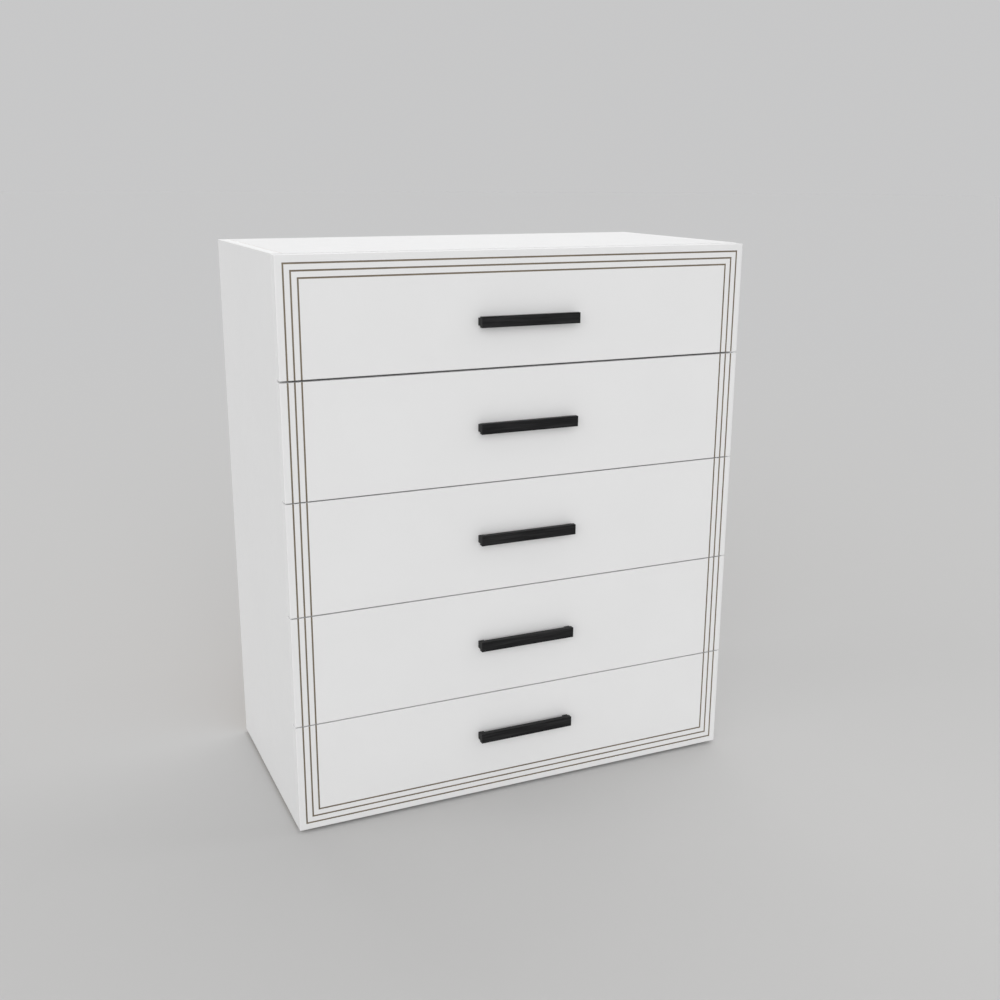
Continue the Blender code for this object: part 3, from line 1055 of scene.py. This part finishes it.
def cutSlots(strip, webX, middleZ, startY, endY):
    long, tall = runner["slotSize"]
    for share in runner["slotPlaces"]:
        y = startY + share * (endY - startY)
        hole = addBlock(
            "hole",
            (webX - overcut, y - long / 2, middleZ - tall / 2),
            (webX + overcut, y + long / 2, middleZ + tall / 2),
        )
        startEditing(hole, "EDGE")
        pickEdges(hole, lambda a, b: abs(a.x - b.x) > overcut)
        bevelPicked(tall * runner["slotRound"], 4)
        stopEditing()
        cutWith(strip, hole)


def makeRollerPattern():
    # A moulded wheel with a dished hub, and a domed rivet through it. Its axis is Z, from 0 up.
    wheel = addDrum("roller_pattern", runner["rollerRadius"], runner["rollerWidth"], 40)
    startEditing(wheel, "FACE")
    pickFaces(wheel, lambda c, n: abs(n.z) > 0.9)
    bpy.ops.mesh.inset(thickness=runner["rollerRadius"] - runner["hub"] - runner["rollerRim"])
    bpy.ops.mesh.extrude_region_shrink_fatten(TRANSFORM_OT_shrink_fatten={"value": -runner["rollerDish"]})
    stopEditing()
    roundEdges(wheel, runner["rollerRound"], 3)
    wear(wheel, nylon, zinc)
    behind = 2 * runner["rollerPlay"]
    rivet = addDrum("rivet", runner["rivet"], runner["rollerWidth"] + behind, 24, -behind)
    startEditing(rivet, "EDGE")
    pickEdges(rivet, lambda a, b: min(a.z, b.z) > runner["rollerWidth"] - near)
    bevelPicked(runner["rivetCrown"], 3)
    stopEditing()
    wear(rivet, nylon, zinc)
    paintFaces(rivet, lambda c, n, old: 1)
    roller = joinAll("roller_pattern", [wheel, rivet])
    smoothSurface(roller)
    return roller


def makeCabinetRunner(rollerPattern):
    # The right-hand strip of drawer 1: a track below, a web against the side panel, a lip above.
    low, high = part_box("cabinet_runner_1_right")
    steel = runner["steel"]
    webX = high.x - steel / 2
    lipX = high.x - (runner["lipReach"] - fitGap)
    trackZ = low.z + steel / 2
    lipZ = high.z - steel / 2
    section = [(low.x, trackZ), (webX, trackZ), (webX, lipZ), (lipX, lipZ)]
    strip = foldStrip("cabinet_strip", section, low.y, high.y)
    middleZ = (low.z + high.z) / 2
    cutSlots(strip, webX, middleZ, low.y, high.y)
    roundEdges(strip, runner["edge"], 2, 50.0)
    wear(strip, runnerPaint)
    smoothSurface(strip, 40.0)
    rollerZ = low.z + steel + runner["trackPlay"] + runner["rollerRadius"]
    rollerX = high.x - steel - runner["rollerPlay"]
    roller = placeCopy(
        rollerPattern, "cabinet_roller", (rollerX, low.y + runner["frontSetback"], rollerZ), (-1, 0, 0)
    )
    along = [runner["firstScrew"]]
    along += [share * (high.y - low.y) for share in runner["cabinetScrews"]]
    places = [(webX - steel / 2 + flatHead["sink"], low.y + step, middleZ) for step in along]
    screws = scatter("cabinet_screws", flatScrew, places, (-1, 0, 0))
    return {"strip": strip, "roller": roller, "screws": screws}


def makeDrawerRunner(rollerPattern):
    # The right-hand strip of drawer 1: a shelf under the drawer side, a web, and a flange that runs on
    # the cabinet's roller.
    low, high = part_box("drawer_1_runner_right")
    steel = runner["steel"]
    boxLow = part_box("drawer_1_side_right")[0].z
    webX = low.x + runner["shelfReach"] + fitGap + steel / 2
    shelfZ = boxLow - fitGap - steel / 2
    flangeZ = high.z - steel / 2
    section = [(low.x, shelfZ), (webX, shelfZ), (webX, flangeZ), (high.x, flangeZ)]
    strip = foldStrip("drawer_strip", section, low.y, high.y)
    middleZ = (shelfZ + flangeZ) / 2
    roundEdges(strip, runner["edge"], 2, 50.0)
    wear(strip, runnerPaint)
    smoothSurface(strip, 40.0)
    rollerX = webX + steel / 2 + runner["rollerPlay"]
    roller = placeCopy(
        rollerPattern,
        "drawer_roller",
        (rollerX, high.y - runner["rearSetback"], low.z + runner["rollerRadius"]),
        (1, 0, 0),
    )
    places = [
        (webX + steel / 2 - flatHead["sink"], low.y + share * (high.y - low.y), middleZ)
        for share in runner["drawerScrews"]
    ]
    screws = scatter("drawer_screws", flatScrew, places, (1, 0, 0))
    return {"strip": strip, "roller": roller, "screws": screws}


def makeRunners():
    rollerPattern = makeRollerPattern()
    kinds = {
        "cabinet_runner_{number}_{side}": (makeCabinetRunner(rollerPattern), "carcass"),
        "drawer_{number}_runner_{side}": (makeDrawerRunner(rollerPattern), "drawer_{number}"),
    }
    slotNames = {"strip": "runner_steel", "roller": "grey_plastic", "screws": "runner_steel"}
    for label, (parts, body) in kinds.items():
        first = label.format(number=1, side="right")
        for part, pattern in parts.items():
            mirrored = mirrorPiece(pattern, f"{pattern.name}_left")
            for side, source in (("right", pattern), ("left", mirrored)):
                for number in drawerNumbers:
                    node = label.format(number=number, side=side)
                    step = stepBetween(first, label.format(number=number, side="right"))
                    copy = copyPiece(source, f"{node}_{part}", step)
                    nodes = [node] if part == "strip" else []
                    mount(copy, body.format(number=number), slotNames[part], *nodes)
            bpy.data.objects.remove(pattern)
            bpy.data.objects.remove(mirrored)
    bpy.data.objects.remove(rollerPattern)


makeRunners()
for pattern in (panScrew, flatScrew, nailPattern, capPattern):
    bpy.data.objects.remove(pattern)
print("runners ready")
